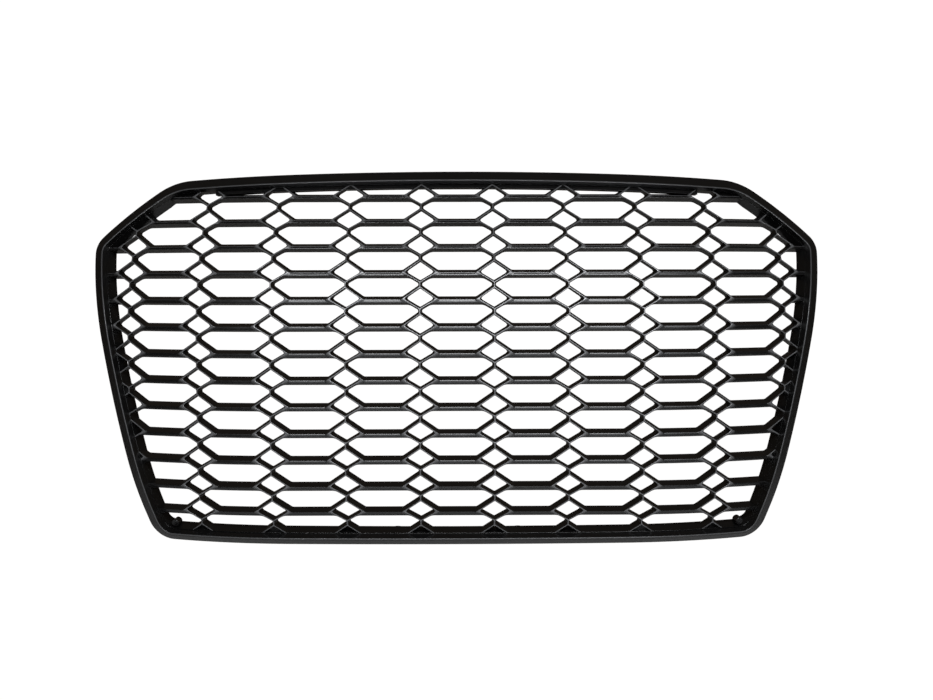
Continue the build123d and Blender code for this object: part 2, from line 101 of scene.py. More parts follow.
# ---- shape of the face and of the outline ---------------------------------------------
@dataclass(frozen=True)
class Bend:
    """A bend of the face: flat up to a start, then an arc, then the arc's tangent."""

    start: float
    radius: float
    limit: float

    def set_back(self, distance: float) -> float:
        """Distance that the face has gone back.

        Args:
            distance: distance from the face's middle, in millimetres.

        Returns:
            The set-back in millimetres.
        """
        past = distance - self.start
        if past <= 0:
            return 0.0
        reach = self.radius * math.sin(math.radians(self.limit))
        on_arc = min(past, reach)
        arc = self.radius - math.sqrt(self.radius**2 - on_arc**2)
        return arc + (past - on_arc) * math.tan(math.radians(self.limit))


@dataclass(frozen=True)
class Face:
    """The bowed surface through the middle of the ribs."""

    side: Bend = Bend(215.0, 500.0, 40.0)
    top: Bend = Bend(12.0, 215.0, 43.0)
    bottom: Bend = Bend(134.0, 195.0, 22.0)

    def depth(self, x: float, z: float) -> float:
        """Set-back of the surface at a place on the face.

        Args:
            x: distance right of the middle, in millimetres.
            z: height above the middle, in millimetres.

        Returns:
            The set-back in millimetres.
        """
        return self.side.set_back(abs(x)) + self.top.set_back(z) + self.bottom.set_back(-z)


@dataclass(frozen=True)
class Arc:
    """One clockwise arc of the outline."""

    centre: Point2
    radius: float
    heading: float
    turn: float

    def at(self, fraction: float, inset: float = 0.0) -> Point2:
        """Point on the arc.

        Args:
            fraction: place along the arc, from 0 to 1.
            inset: distance inside the outer edge, in millimetres.

        Returns:
            Its x and z.
        """
        angle = self.heading + self.turn * fraction
        reach = self.radius - inset
        return (self.centre[0] + reach * math.sin(angle), self.centre[1] + reach * math.cos(angle))

    @property
    def length(self) -> float:
        """Length of the arc at the outer edge."""
        return self.radius * self.turn


@dataclass
class Outline:
    """Outer edge of the surround as arcs that run into each other, from the top centre down."""

    top_height: float = 236.5
    top: Point2 = (6000.0, 360.0)
    corner: Point2 = (84.0, 32.7)
    chamfer: Point2 = (600.0, 94.0)
    shoulder: Point2 = (27.0, 52.0)
    side: Point2 = (1826.0, 359.5)
    lower_corner_radius: float = 35.0
    bottom_radius: float = 21000.0
    first_lower_turn: float = 75.0
    closing_rounds: int = 8
    arcs: list[Arc] = field(default_factory=list)

    def __post_init__(self) -> None:
        """Work out the arcs; the lower corner's turn closes the outline."""
        lower_turn = math.radians(self.first_lower_turn)
        for _ in range(self.closing_rounds):
            runs = [
                (self.top[0], self.top[1] / self.top[0]),
                (self.corner[0], math.radians(self.corner[1])),
                (self.chamfer[0], self.chamfer[1] / self.chamfer[0]),
                (self.shoulder[0], math.radians(self.shoulder[1])),
                (self.side[0], self.side[1] / self.side[0]),
                (self.lower_corner_radius, lower_turn),
            ]
            self.arcs = []
            point, heading = (0.0, self.top_height), 0.0
            for radius, turn in runs:
                point, heading = self._add(point, heading, radius, turn)
            bottom_turn = math.asin(point[0] / self.bottom_radius)
            lower_turn += math.pi - bottom_turn - heading
        self._add(point, heading, self.bottom_radius, bottom_turn)

    def _add(self, point: Point2, heading: float, radius: float, turn: float) -> tuple[Point2, float]:
        """Append one arc.

        Args:
            point: where it starts.
            heading: clockwise angle from +X at its start, in radians.
            radius: its radius in millimetres.
            turn: how far it turns, in radians.

        Returns:
            Its end point and the heading there.
        """
        centre = (point[0] - radius * math.sin(heading), point[1] - radius * math.cos(heading))
        self.arcs.append(Arc(centre, radius, heading, turn))
        return self.arcs[-1].at(1.0), heading + turn

    def bottom_share(self, arc: Arc, fraction: float) -> float:
        """How far the outline has turned into its bottom edge.

        Args:
            arc: arc of the outline.
            fraction: place along the arc.

        Returns:
            0 on the side, 1 on the bottom.
        """
        if arc is self.arcs[-1]:
            return 1.0
        return fraction * fraction * (3 - 2 * fraction) if arc is self.arcs[-2] else 0.0

    def inset(self, x: float, z: float) -> float:
        """Distance of a place inside the outer edge, negative outside.

        Args:
            x: distance right of the middle, in millimetres.
            z: height above the middle, in millimetres.

        Returns:
            The distance in millimetres.
        """
        nearest = FAR
        for arc in self.arcs:
            dx, dz = abs(x) - arc.centre[0], z - arc.centre[1]
            angle = math.atan2(dx, dz)
            if arc.heading - ANGLE_SLACK <= angle <= arc.heading + arc.turn + ANGLE_SLACK:
                nearest = min(nearest, arc.radius - math.hypot(dx, dz))
        return nearest

    def stations(self, spacing: float, step_turn: float) -> list[tuple[Arc, float, int]]:
        """Places round the whole outline, closer together where it turns.

        Args:
            spacing: longest distance between two places, in millimetres.
            step_turn: largest turn between two places, in degrees.

        Returns:
            Arc, fraction and side (1 right, -1 left) of each place, clockwise.
        """
        right: list[tuple[Arc, float, int]] = []
        for arc in self.arcs:
            steps = max(1, math.ceil(arc.length / spacing), math.ceil(math.degrees(arc.turn) / step_turn))
            right += [(arc, step / steps, 1) for step in range(steps)]
        right.append((self.arcs[-1], 1.0, 1))
        left = [(arc, fraction, -1) for arc, fraction, _ in reversed(right[1:-1])]
        return right + left


FACE = Face()
OUTLINE = Outline()


@dataclass(frozen=True)
class Placement:
    """Turns places on the face, in millimetres, into places in the part's frame."""

    y: float
    z: float

    @classmethod
    def from_frame(cls, rib_depth: float) -> "Placement":
        """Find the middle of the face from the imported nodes' boxes.

        Args:
            rib_depth: depth of the honeycomb's ribs, in millimetres.

        Returns:
            The placement.
        """
        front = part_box("honeycomb_insert")[0][1] + rib_depth / 2 * MM
        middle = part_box("surround_trim")[1][2] - OUTLINE.top_height * MM
        return cls(front, middle)

    def at(self, x: float, z: float, depth: float) -> Point3:
        """Place behind or in front of the middle surface.

        Args:
            x: distance right of the middle, in millimetres.
            z: height above the middle, in millimetres.
            depth: distance behind the middle surface, in millimetres.

        Returns:
            The place in metres.
        """
        return (x * MM, (FACE.depth(x, z) + depth) * MM + self.y, z * MM + self.z)


# ---- mesh helpers ---------------------------------------------------------------------
def finish_mesh(name: str, bm: bmesh.types.BMesh, smooth_angle: float) -> bpy.types.Object:
    """Turn a bmesh into a piece with smooth shading and crisp edges.

    Args:
        name: the piece's name.
        bm: its geometry, which is freed.
        smooth_angle: edges that turn more than this stay crisp, in degrees.

    Returns:
        The piece.
    """
    bmesh.ops.recalc_face_normals(bm, faces=bm.faces)
    mesh = bpy.data.meshes.new(name)
    bm.to_mesh(mesh)
    bm.free()
    mesh.shade_smooth()
    mesh.set_sharp_from_angle(angle=math.radians(smooth_angle))
    piece = bpy.data.objects.new(name, mesh)
    bpy.context.scene.collection.objects.link(piece)
    weighted = piece.modifiers.new("even_normals", "WEIGHTED_NORMAL")
    weighted.keep_sharp = True
    return piece


def painted_highlight_layer(bm: bmesh.types.BMesh) -> Any:
    """Vertex layer that holds the painted highlight mask on crests, from 0 to 1."""
    return bm.verts.layers.float.get(PAINTED_HIGHLIGHT_LAYER) or bm.verts.layers.float.new(PAINTED_HIGHLIGHT_LAYER)


def rounded_corner(before: Point2, corner: Point2, after: Point2, radius: float, count: int) -> list[Point2]:
    """Points that round one corner of a polygon.

    Args:
        before: the corner before it.
        corner: the corner.
        after: the corner after it.
        radius: fillet radius.
        count: number of points.

    Returns:
        The points, in order.
    """
    a = Vector((before[0] - corner[0], before[1] - corner[1]))
    b = Vector((after[0] - corner[0], after[1] - corner[1]))
    half_angle = a.angle(b) / 2
    run = min(radius / math.tan(half_angle), LONGEST_FILLET * a.length, LONGEST_FILLET * b.length)
    start, end = a.normalized() * run, b.normalized() * run
    points = []
    for step in range(count):
        u = step / (count - 1)
        pull = (1 - u) ** 2 * start + u**2 * end
        points.append((corner[0] + pull.x, corner[1] + pull.y))
    return points


def inset_polygon(corners: Sequence[Point2], insets: Sequence[float]) -> list[Point2]:
    """Corners of an anticlockwise polygon after each side has moved inward.

    Args:
        corners: the polygon.
        insets: how far the side after each corner moves.

    Returns:
        The new corners.
    """
    lines = []
    for (x0, z0), (x1, z1), inset in zip(corners, [*corners[1:], corners[0]], insets):
        length = math.hypot(x1 - x0, z1 - z0)
        nx, nz = -(z1 - z0) / length, (x1 - x0) / length
        lines.append((nx, nz, nx * x0 + nz * z0 + inset))
    moved = []
    for (a, b, c), (d, e, f) in zip([lines[-1], *lines[:-1]], lines):
        det = a * e - b * d
        moved.append(((c * e - b * f) / det, (a * f - c * d) / det))
    return moved


@dataclass(frozen=True)
class Section:
    """Closed section of a ring: corners as (inset, depth) with a radius each, in millimetres."""

    corners: tuple[tuple[float, float, float], ...]
    round_steps: int = 4

    def points(self) -> list[Point2]:
        """The section's points, with its corners rounded."""
        result: list[Point2] = []
        count = len(self.corners)
        for i, (inset, depth, radius) in enumerate(self.corners):
            before, after = self.corners[i - 1], self.corners[(i + 1) % count]
            if radius <= 0:
                result.append((inset, depth))
            else:
                steps = self.round_steps if radius < LARGE_FILLET else 2 * self.round_steps
                result += rounded_corner(before[:2], (inset, depth), after[:2], radius, steps)
        return result


@dataclass
class Ring:
    """Carries a section round the outline, or along a stretch of one of its arcs."""

    place: Placement
    section: Section
    spacing: float = 9.0
    step_turn: float = 3.0
    lean: Callable[[Arc, float, float, float], float] = lambda arc, fraction, inset, depth: 0.0
    # painted highlight mask of each section corner, from 0 to 1
    crest: Callable[[float, float], float] = lambda inset, depth: 0.0

    def _loop(self, bm: bmesh.types.BMesh, arc: Arc, fraction: float, side: int) -> list[bmesh.types.BMVert]:
        """Section's vertices at one station.

        Args:
            bm: mesh that receives them.
            arc: arc of the outline.
            fraction: place along the arc.
            side: 1 for the right half, -1 for the left.

        Returns:
            The vertices, in order.
        """
        loop = []
        marks = painted_highlight_layer(bm)
        for inset, depth in self.section.points():
            x, z = arc.at(fraction, inset + self.lean(arc, fraction, inset, depth))
            loop.append(bm.verts.new(self.place.at(side * x, z, depth)))
            loop[-1][marks] = self.crest(inset, depth)
        return loop

    @staticmethod
    def bridge(bm: bmesh.types.BMesh, first: Sequence[Any], second: Sequence[Any]) -> None:
        """Join two loops with quads.

        Args:
            bm: mesh that receives the quads.
            first: one loop.
            second: the next loop.
        """
        for i, vertex in enumerate(first):
            j = (i + 1) % len(first)
            bm.faces.new((vertex, first[j], second[j], second[i]))

    def add_round(self, bm: bmesh.types.BMesh) -> None:
        """Add the ring all the way round the outline.

        Args:
            bm: mesh that receives it.
        """
        loops = [self._loop(bm, *station) for station in OUTLINE.stations(self.spacing, self.step_turn)]
        for first, second in zip(loops, [*loops[1:], loops[0]]):
            self.bridge(bm, first, second)

    def add_stretch(self, bm: bmesh.types.BMesh, arc: Arc, span: Point2, side: int) -> None:
        """Add a closed length of the section along part of one arc.

        Args:
            bm: mesh that receives it.
            arc: arc of the outline.
            span: first and last fraction of the arc.
            side: 1 for the right half, -1 for the left.
        """
        steps = max(3, math.ceil(arc.length * (span[1] - span[0]) / self.spacing))
        fractions = [span[0] + (span[1] - span[0]) * step / steps for step in range(steps + 1)]
        loops = [self._loop(bm, arc, fraction, side) for fraction in fractions]
        for first, second in zip(loops, loops[1:]):
            self.bridge(bm, first, second)
        bm.faces.new(loops[0])
        bm.faces.new(list(reversed(loops[-1])))


# ---- finishes -------------------------------------------------------------------------
class Wire:
    """A shader value that takes part in Python arithmetic by adding Math nodes."""

    def __init__(self, kit: "ShaderKit", socket: bpy.types.NodeSocket) -> None:
        self.kit = kit
        self.socket = socket

    def _math(self, operation: str, first: Any, second: Any) -> "Wire":
        """Add one Math node.

        Args:
            operation: the node's operation.
            first: its first value or wire.
            second: its second value or wire.

        Returns:
            The node's result.
        """
        return self.kit.node("ShaderNodeMath", {"operation": operation}, {0: first, 1: second})

    def __add__(self, other: Any) -> "Wire":
        """Sum."""
        return self._math("ADD", self, other)

    def __radd__(self, other: Any) -> "Wire":
        """Sum with a plain number first."""
        return self._math("ADD", other, self)

    def __sub__(self, other: Any) -> "Wire":
        """Difference."""
        return self._math("SUBTRACT", self, other)

    def __rsub__(self, other: Any) -> "Wire":
        """Difference from a plain number."""
        return self._math("SUBTRACT", other, self)

    def __mul__(self, other: Any) -> "Wire":
        """Product."""
        return self._math("MULTIPLY", self, other)

    def __rmul__(self, other: Any) -> "Wire":
        """Product with a plain number first."""
        return self._math("MULTIPLY", other, self)


class ShaderKit:
    """Builds one material's node tree."""

    def __init__(self, name: str) -> None:
        """Start a material with a Principled shader.

        Args:
            name: the material's name.
        """
        self.material = bpy.data.materials.new(name)
        self.material.use_nodes = True
        self.tree = self.material.node_tree
        self.shader = self.tree.nodes["Principled BSDF"]

    def node(self, kind: str, settings: dict[str, Any], inputs: dict[Any, Any], output: Any = 0) -> Wire:
        """Add a node.

        Args:
            kind: its type.
            settings: its properties, set first; "stops" fills a colour ramp.
            inputs: value or wire for each socket, by name or number.
            output: which output to return.

        Returns:
            The chosen output.
        """
        made = self.tree.nodes.new(kind)
        for key, value in settings.items():
            if key == "stops":
                self._fill_ramp(made.color_ramp, value)
            else:
                setattr(made, key, value)
        for key, value in inputs.items():
            self.feed(made.inputs[key], value)
        return Wire(self, made.outputs[output])

    @staticmethod
    def _fill_ramp(ramp: bpy.types.ColorRamp, stops: Sequence[tuple[float, float]]) -> None:
        """Set a ramp's grey stops.

        Args:
            ramp: the ramp.
            stops: position and grey of each stop.
        """
        while len(ramp.elements) < len(stops):
            ramp.elements.new(0.5)
        for element, (position, grey) in zip(ramp.elements, stops):
            element.position = position
            element.color = (grey, grey, grey, 1.0)

    def feed(self, socket: bpy.types.NodeSocket, value: Any) -> None:
        """Link a wire to a socket, or set the socket's own value.

        Args:
            socket: the socket.
            value: the wire or value.
        """
        if isinstance(value, Wire):
            self.tree.links.new(value.socket, socket)
        else:
            socket.default_value = value

    def place(self) -> Wire:
        """Place on the object, in metres."""
        return self.node("ShaderNodeTexCoord", {}, {}, "Object")

    def noise(self, scale: float, detail: float, stretch: Point3 = (1.0, 1.0, 1.0)) -> Wire:
        """Soft noise.

        Args:
            scale: features per metre.
            detail: octaves.
            stretch: scale along each axis.

        Returns:
            A value near 0.5.
        """
        spot = self.node("ShaderNodeVectorMath", {"operation": "MULTIPLY"}, {0: self.place(), 1: stretch})
        return self.node("ShaderNodeTexNoise", {}, {"Vector": spot, "Scale": scale, "Detail": detail})

    def ramp(self, value: Wire, stops: Sequence[tuple[float, float]]) -> Wire:
        """Grey ramp of a value."""
        return self.node("ShaderNodeValToRGB", {"stops": stops}, {"Fac": value})

    def mix(self, share: Wire, first: Any, second: Any) -> Wire:
        """Blend of two colours.

        Args:
            share: how much of the second.
            first: colour or wire at share 0.
            second: colour or wire at share 1.

        Returns:
            The colour.
        """
        ends = [end if isinstance(end, Wire) else (*end, 1.0) for end in (first, second)]
        return self.node("ShaderNodeMix", {"data_type": "RGBA"}, {0: share, 6: ends[0], 7: ends[1]}, 2)

    def relief(self, height: Wire, depth: float, strength: float) -> None:
        """Feed the shader's normal from a height.

        Args:
            height: the height, from 0 to 1.
            depth: what 1 stands for, in metres.
            strength: share of the relief that shows.
        """
        bump = self.node(
            "ShaderNodeBump", {}, {"Height": height, "Distance": depth, "Strength": strength}, "Normal"
        )
        self.feed(self.shader.inputs["Normal"], bump)

    def set(self, **values: Any) -> None:
        """Set the shader's sockets by name, with underscores for spaces."""
        for key, value in values.items():
            self.feed(self.shader.inputs[key.replace("_", " ").title().replace("Ior", "IOR")], value)


@dataclass(frozen=True)
class MouldedPlastic:
    """Black moulded plastic: dark, satin, with fine grain and faint clouding of its sheen, and a painted
    highlight, a lighter part-metallic colour, on the crests that the mesh marks.
    """

    name: str
    colour: Point3
    worn: Point3
    roughness: float
    cloud: float
    grain_per_metre: float
    grain_depth: float
    # painted highlight: colour and metallic share that the crest mask mixes in, standing in for light caught
    # by the crests
    painted_highlight_colour: Point3 = (0.12, 0.12, 0.122)
    painted_highlight_metallic: float = 0.35
    cloud_scale: float = 22.0
    cloud_tint: float = 0.55
    flow_scale: float = 6.0
    flow_stretch: Point3 = (0.4, 1.0, 1.6)
    dust_scale: float = 420.0
    dust_stops: tuple[Point2, ...] = ((0.55, 0.0), (0.75, 1.0))
    dust_tint: float = 0.25
    dust_roughness: float = 0.05
    grain_strength: float = 0.35

    def build(self) -> bpy.types.Material:
        """Make the material."""
        kit = ShaderKit(self.name)
        # painted highlight mask, read from the mesh's vertex layer
        crest = kit.node("ShaderNodeAttribute", {"attribute_name": PAINTED_HIGHLIGHT_LAYER}, {}, "Fac")
        clouds = kit.noise(self.cloud_scale, 2.0)
        flow = kit.noise(self.flow_scale, 2.0, self.flow_stretch)
        grain = kit.noise(self.grain_per_metre, 2.0)
        dust = kit.ramp(kit.noise(self.dust_scale, 4.0), self.dust_stops)
        tint = kit.mix(clouds * self.cloud_tint + dust * self.dust_tint, self.colour, self.worn)
        sheen = self.roughness + (clouds - 0.5) * self.cloud + (flow - 0.5) * self.cloud
        kit.set(
            # painted highlight: the crest mask lightens the base colour and adds metallic
            base_color=kit.mix(crest, tint, self.painted_highlight_colour),
            metallic=crest * self.painted_highlight_metallic,
            roughness=sheen + dust * self.dust_roughness,
            ior=1.5,
        )
        kit.relief(grain, self.grain_depth, self.grain_strength)
        return kit.material


@dataclass(frozen=True)
class CoatedSteel:
    """Sheet or screw steel under a thin phosphate or black coat, with rolling marks."""

    name: str
    colour: Point3
    bare: Point3
    roughness: float
    metallic: float
    rolling_scale: float = 160.0
    rolling_stretch: Point3 = (1.0, 9.0, 1.0)
    rolling_depth: float = 0.00004
    speck_scale: float = 900.0
    speck_stops: tuple[Point2, ...] = ((0.5, 0.0), (0.72, 1.0))

    def build(self) -> bpy.types.Material:
        """Make the material."""
        kit = ShaderKit(self.name)
        rolled = kit.noise(self.rolling_scale, 4.0, self.rolling_stretch)
        specks = kit.ramp(kit.noise(self.speck_scale, 3.0), self.speck_stops)
        kit.set(
            base_color=kit.mix(rolled * 0.5 + specks * 0.4, self.colour, self.bare),
            metallic=self.metallic,
            roughness=self.roughness + (rolled - 0.5) * 0.25 + specks * 0.1,
        )
        kit.relief(rolled, self.rolling_depth, 0.5)
        return kit.material


@dataclass(frozen=True)
class CellFoam:
    """Closed-cell foam: matt, with small pores."""

    name: str
    colour: Point3
    pale: Point3
    pore_scale: float = 1400.0
    pore_depth: float = 0.0003

    def build(self) -> bpy.types.Material:
        """Closed-cell foam: matt, with small pores, and painted shade that darkens the pore hollows."""
        kit = ShaderKit(self.name)
        pores = kit.node(
            "ShaderNodeTexVoronoi", {}, {"Vector": kit.place(), "Scale": self.pore_scale}, "Distance"
        )
        # painted shade: the pore hollows, low in the relief, take the darker colour
        kit.set(
            base_color=kit.mix(pores, self.colour, self.pale),
            roughness=0.8 + pores * 0.15,
        )
        kit.relief(pores, self.pore_depth, 0.9)
        return kit.material


# ---- honeycomb ------------------------------------------------------------------------
@dataclass(frozen=True)
class RibPattern:
    """Sizes of the honeycomb's ribs, in millimetres, heights taken from a diamond's middle."""

    column_pitch: float = 95.0
    row_pitch: float = 34.12
    rib_depth: float = 25.0
    diamond_half_width: float = 21.6
    diamond_top: float = 13.7
    diamond_bottom: float = 14.0
    diamond_side_drop: float = 1.2
    ridge_half_width: float = 0.9
    diamond_draft: float = 1.0
    slope_draft: float = 2.1
    link_draft: float = 1.8
    bar_top_back: float = 1.5
    bar_bottom_back: float = -9.6
    bar_top_front: float = -2.0
    bar_face: float = 5.1
    bar_face_high: float = 3.0
    thin_from: float = 40.0
    thin_to: float = 150.0
    bar_end: float = 22.4

    def bar_front(self, z: float) -> Point2:
        """Top and bottom of a cross bar's front face, which is narrower high on the face.

        Args:
            z: the bar's height on the face.

        Returns:
            Both heights from the diamonds' middle.
        """
        share = min(1.0, max(0.0, (z - self.thin_from) / (self.thin_to - self.thin_from)))
        face = self.bar_face + (self.bar_face_high - self.bar_face) * share
        return self.bar_top_front, self.bar_top_front - face


@dataclass(frozen=True)
class Spot:
    """A point of a tile's border: its place, its share of ridge, and how proud a bar's lip stands."""

    x: float
    z: float
    ridge: float
    lip: float = 0.0


class Tile:
    """One opening with the half ribs round it, as matching loops from front to back.

    SHARED holds the fractions of a sloping ridge, from a diamond's side corner to its tip, at
    which neighbouring tiles have points in common. COUNTS, RADII and STOPS are the points and
    fillet radius of each corner, and where points stand along each side.
    """

    SHARED = (0.15, 0.80, 0.90, 0.95)
    DIAMOND_COUNTS = (3, 5, 3, 5)
    DIAMOND_RADII = (2.6, 1.6, 2.6, 1.6)
    DIAMOND_STOPS = ((0.93,), (0.07,), (0.93,), (0.07,))
    CELL_COUNTS = (4, 4, 3, 3, 4, 4, 3, 3)
    CELL_RADII = (5.0, 5.0, 1.8, 1.8, 13.0, 13.0, 1.8, 1.8)
    CELL_STOPS = (
        (1 / 3, 2 / 3), (0.12, 0.90), (), (0.10, 0.88), (1 / 3, 2 / 3), (0.12, 0.90), (), (0.10, 0.88),
    )

    def __init__(self, kind: Opening, x: float, z: float, pattern: RibPattern) -> None:
        """Set up a tile.

        Args:
            kind: which opening it is.
            x: its centre, right of the face's middle.
            z: its centre, above the face's middle.
            pattern: sizes of the ribs.
        """
        self.kind = kind
        self.x = x
        self.z = z
        self.pattern = pattern
        self.border = self._cell_border() if kind is Opening.CELL else self._diamond_border()

    @staticmethod
    def between(start: Point2, end: Point2, share: float) -> Point2:
        """Point part of the way from one to another."""
        return (start[0] + (end[0] - start[0]) * share, start[1] + (end[1] - start[1]) * share)

    def _diamond_border(self) -> list[Spot]:
        """Border of a diamond's tile: the middle of its ridges, anticlockwise from the right."""
        p = self.pattern
        right = (p.diamond_half_width, -p.diamond_side_drop)
        left = (-right[0], right[1])
        top, bottom = (0.0, p.diamond_top), (0.0, -p.diamond_bottom)
        points = [self.between(right, bottom, self.SHARED[0]), right]
        points += [self.between(right, top, share) for share in self.SHARED] + [top]
        points += [self.between(left, top, share) for share in reversed(self.SHARED)] + [left]
        points += [self.between(left, bottom, share) for share in self.SHARED] + [bottom]
        points += [self.between(right, bottom, share) for share in reversed(self.SHARED[1:])]
        return [Spot(self.x + x, self.z + z, 1.0) for x, z in points]

    def _cell_border(self) -> list[Spot]:
        """Border of a wide cell's tile: middle of its ridges and cross bars, from the lower left."""
        p = self.pattern
        half_row = p.row_pitch / 2
        reach = p.column_pitch / 2 - p.diamond_half_width
        tip = p.column_pitch / 2
        spots: list[Spot] = []
        quarter = {
            "low": (-half_row, (tip, p.diamond_top - half_row)),
            "high": (half_row, (tip, half_row - p.diamond_bottom)),
        }
        for level, (row, crossing) in quarter.items():
            bar_top, bar_bottom = p.bar_front(self.z + row)
            bar_end = (p.bar_end, row + (bar_top + bar_bottom) / 2)
            side = (reach, row - p.diamond_side_drop)
            run = [(*self.between(bar_end, side, step / 3), step / 3) for step in range(4)]
            run += [(*self.between(side, crossing, share), 1.0) for share in self.SHARED]
            run.append((*crossing, 1.0))
            mirrored = [(-x, z, ridge) for x, z, ridge in reversed(run)]
            bar = [(*self.between((-bar_end[0], bar_end[1]), bar_end, step / 3), 0.0) for step in (1, 2)]
            if level == "low":
                part = mirrored[-4:] + bar + run
                tail = mirrored[:-4]
            else:
                part = list(reversed(run)) + list(reversed(bar)) + list(reversed(mirrored))
            spots += [self._spot(x, z, ridge, level == "low") for x, z, ridge in part]
        spots += [self._spot(x, z, ridge, True) for x, z, ridge in tail]
        return spots

    def _spot(self, x: float, z: float, ridge: float, floor: bool) -> Spot:
        """Border point of a cell, with the lip that a bar's upper edge has where the face leans back.

        Args:
            x: distance right of the cell's centre.
            z: height above the cell's centre.
            ridge: share of ridge.
            floor: whether the point is on the cell's lower half.

        Returns:
            The point.
        """
        high = self.z + z
        leans = max(0.0, FACE.depth(0.0, high + 0.5) - FACE.depth(0.0, high - 0.5))
        return Spot(self.x + x, high, ridge, (1 - ridge) * leans if floor else 0.0)

    def opening(self, share: float) -> list[Point2]:
        """Edge of the opening, with one point for each of the border's.

        Args:
            share: share of the draft, 0 at the front and 1 at the back.

        Returns:
            The points.
        """
        return self._cell_opening(share) if self.kind is Opening.CELL else self._diamond_opening(share)

    def _diamond_opening(self, share: float) -> list[Point2]:
        """Edge of a diamond.

        Args:
            share: share of the draft.

        Returns:
            The points.
        """
        p = self.pattern
        corners = [
            (p.diamond_half_width, -p.diamond_side_drop), (0.0, p.diamond_top),
            (-p.diamond_half_width, -p.diamond_side_drop), (0.0, -p.diamond_bottom),
        ]
        corners = inset_polygon(corners, [p.ridge_half_width + p.diamond_draft * share] * 4)
        return self._loop(corners, self.DIAMOND_COUNTS, self.DIAMOND_RADII, self.DIAMOND_STOPS)

    def _cell_opening(self, share: float) -> list[Point2]:
        """Edge of a wide opening.

        Args:
            share: share of the draft.

        Returns:
            The points.
        """
        p = self.pattern
        half_row = p.row_pitch / 2
        flat = p.column_pitch / 2 - p.diamond_half_width
        tip = p.column_pitch / 2
        low, high = -half_row - p.diamond_side_drop, half_row - p.diamond_side_drop
        corners = [
            (-flat, low), (flat, low), (tip, p.diamond_top - half_row), (tip, half_row - p.diamond_bottom),
            (flat, high), (-flat, high),
            (-tip, half_row - p.diamond_bottom), (-tip, p.diamond_top - half_row),
        ]
        floor_front = p.bar_front(self.z - half_row)[0]
        ceiling_front = p.bar_front(self.z + half_row)[1]
        floor = floor_front + (p.bar_top_back - floor_front) * share + p.diamond_side_drop
        ceiling = -ceiling_front - (p.bar_bottom_back - ceiling_front) * share - p.diamond_side_drop
        slope = p.ridge_half_width + p.slope_draft * share
        link = p.ridge_half_width + p.link_draft * share
        corners = inset_polygon(corners, [floor, slope, link, slope, ceiling, slope, link, slope])
        return self._loop(corners, self.CELL_COUNTS, self.CELL_RADII, self.CELL_STOPS)

    def _loop(
        self,
        corners: Sequence[Point2],
        counts: Sequence[int],
        radii: Sequence[float],
        stops: Sequence[Sequence[float]],
    ) -> list[Point2]:
        """Rounded polygon with a set number of points at each corner and along each side.

        Args:
            corners: the polygon, anticlockwise.
            counts: points at each corner.
            radii: radius of each corner.
            stops: where points stand along the side after each corner, as fractions.

        Returns:
            The points, moved to the tile's centre.
        """
        size = len(corners)
        rounds = [
            rounded_corner(corners[i - 1], corners[i], corners[(i + 1) % size], radii[i], counts[i])
            for i in range(size)
        ]
        points: list[Point2] = []
        for i, corner in enumerate(rounds):
            points += corner
            start, end = corner[-1], rounds[(i + 1) % size][0]
            points += [self.between(start, end, stop) for stop in stops[i]]
        return [(self.x + x, self.z + z) for x, z in points]


